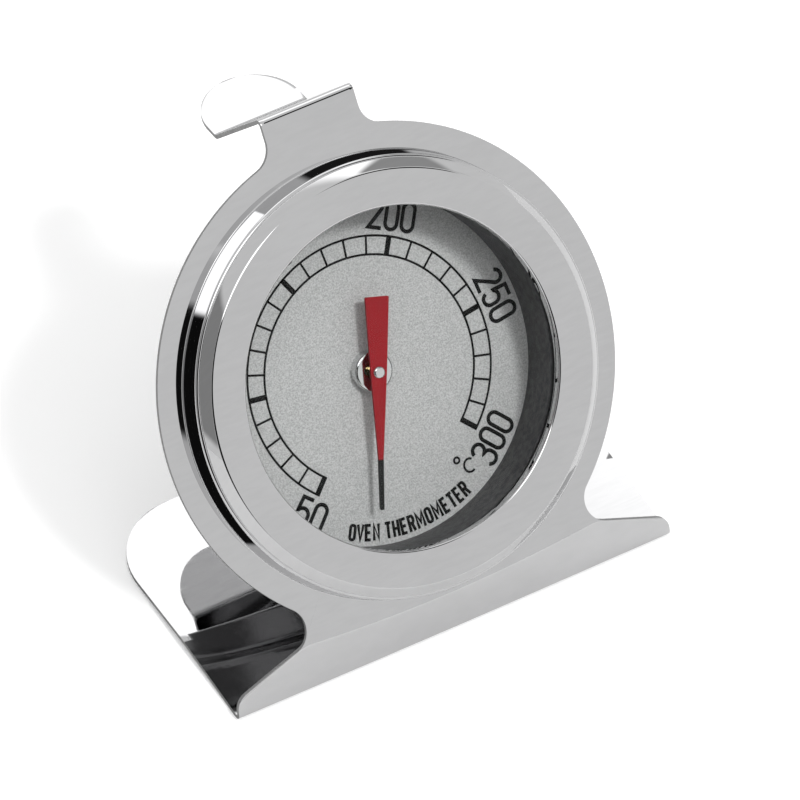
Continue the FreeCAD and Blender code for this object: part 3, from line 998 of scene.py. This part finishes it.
def make_floor():
    """Plain pale paper."""
    mesh = bpy.data.meshes.new("floor")
    corners = [(-FLOOR_HALF, -FLOOR_HALF, 0), (FLOOR_HALF, -FLOOR_HALF, 0),
               (FLOOR_HALF, FLOOR_HALF, 0), (-FLOOR_HALF, FLOOR_HALF, 0)]
    mesh.from_pydata(corners, [], [(0, 1, 2, 3)])
    floor = bpy.data.objects.new("floor", mesh)
    bpy.context.scene.collection.objects.link(floor)
    paper = painted("floor_paper", PAPER, roughness=0.9, grain=40.0, tone=0.004,
                    relief=0.0)
    graph = Graph(paper)
    seen = graph.add("LightPath").outputs["Is Camera Ray"]
    graph.surface(Emission_Color=gray(1.0),
                  Emission_Strength=graph.math("MULTIPLY", seen, FLOOR_LIFT))
    mesh.materials.append(paper)


def make_camera():
    """Long lens, from the front left and above."""
    to_model = DIAL.to_3x3()
    right = (to_model @ CAMERA_RIGHT).normalized()
    forward = to_model @ CAMERA_WAY
    forward = (forward - right * forward.dot(right)).normalized()
    up = right.cross(forward)
    data = bpy.data.cameras.new("camera")
    data.sensor_width = SENSOR_WIDTH
    data.lens = LENS_LENGTH
    camera = bpy.data.objects.new("camera", data)
    bpy.context.scene.collection.objects.link(camera)
    spot = CENTRE - forward * CAMERA_DISTANCE + right * AIM_RIGHT - up * AIM_BELOW
    turn = Matrix((right, up, -forward)).transposed().to_4x4()
    camera.matrix_world = Matrix.Translation(spot) @ turn
    bpy.context.scene.camera = camera


# Studio light: a pale surround with soft boxes and dark flags. Each patch is
# (azimuth from, to, elevation from, to, width of its soft edge, brightness). Azimuth 0
# is straight in front of the object and grows to its right.
SURROUND = 0.84
BACKDROP = 1.0              # what the camera itself sees behind the floor
PATCHES = [
    (95, 200, 24, 60, 9, 1.85),
    (98, 134, 20, 54, 5, 0.4),
    (-75, 6, 52, 80, 3, 3.0),
    (-125, -64, 2, 50, 4, 0.32),
    (-62, -10, 3, 54, 2, 0.01),
    (38, 80, 36, 68, 3, 0.02),
]
KEY_WAY = Vector((-0.45, 2.4, -0.8))    # the key light's way, in the dial frame
KEY_STRENGTH = 1.5
KEY_SIZE = 9.0              # apparent width


def make_key():
    """Soft light from the front, a little right, that throws the pointer's shadow."""
    data = bpy.data.lights.new("key", "SUN")
    data.energy = KEY_STRENGTH
    data.angle = math.radians(KEY_SIZE)
    light = bpy.data.objects.new("key", data)
    light.visible_glossy = False
    light.rotation_mode = "QUATERNION"
    light.rotation_quaternion = (DIAL.to_3x3() @ KEY_WAY).to_track_quat("-Z", "Y")
    bpy.context.scene.collection.objects.link(light)


def patch_share(graph, azimuth, elevation, low_az, high_az, low_el, high_el, soft):
    """1 inside a patch and 0 outside it, with a soft edge."""
    offset = graph.math("SUBTRACT", azimuth, (low_az + high_az) / 2)
    offset = graph.math("WRAP", offset, 180.0, -180.0)
    reach = (high_az - low_az) / 2
    across = graph.ramp(graph.math("ABSOLUTE", offset), reach, reach - soft)
    rise = graph.ramp(elevation, low_el, low_el + soft)
    fall = graph.ramp(elevation, high_el, high_el - soft)
    return graph.math("MULTIPLY", across, graph.math("MULTIPLY", rise, fall))


def make_world():
    """The surround and its patches. The camera itself sees a plain backdrop."""
    world = bpy.data.worlds.new("studio")
    bpy.context.scene.world = world
    world.use_nodes = True
    graph = Graph(world)
    way = graph.add("TexCoord").outputs["Generated"]
    parts = graph.add("SeparateXYZ", Vector=way).outputs
    azimuth = graph.math("ARCTAN2", parts[0], graph.math("MULTIPLY", parts[1], -1.0))
    azimuth = graph.math("DEGREES", azimuth)
    elevation = graph.math("DEGREES", graph.math("ARCSINE", parts[2]))
    color = gray(SURROUND)
    for *limits, soft, brightness in PATCHES:
        share = patch_share(graph, azimuth, elevation, *limits, soft)
        color = graph.mix(share, color, gray(brightness))
    seen = graph.add("LightPath").outputs["Is Camera Ray"]
    color = graph.mix(seen, color, gray(BACKDROP))
    graph.feed(graph.nodes["Background"].inputs["Color"], color)


make_floor()
make_camera()
make_key()
make_world()
bpy.context.scene.view_settings.view_transform = "Standard"
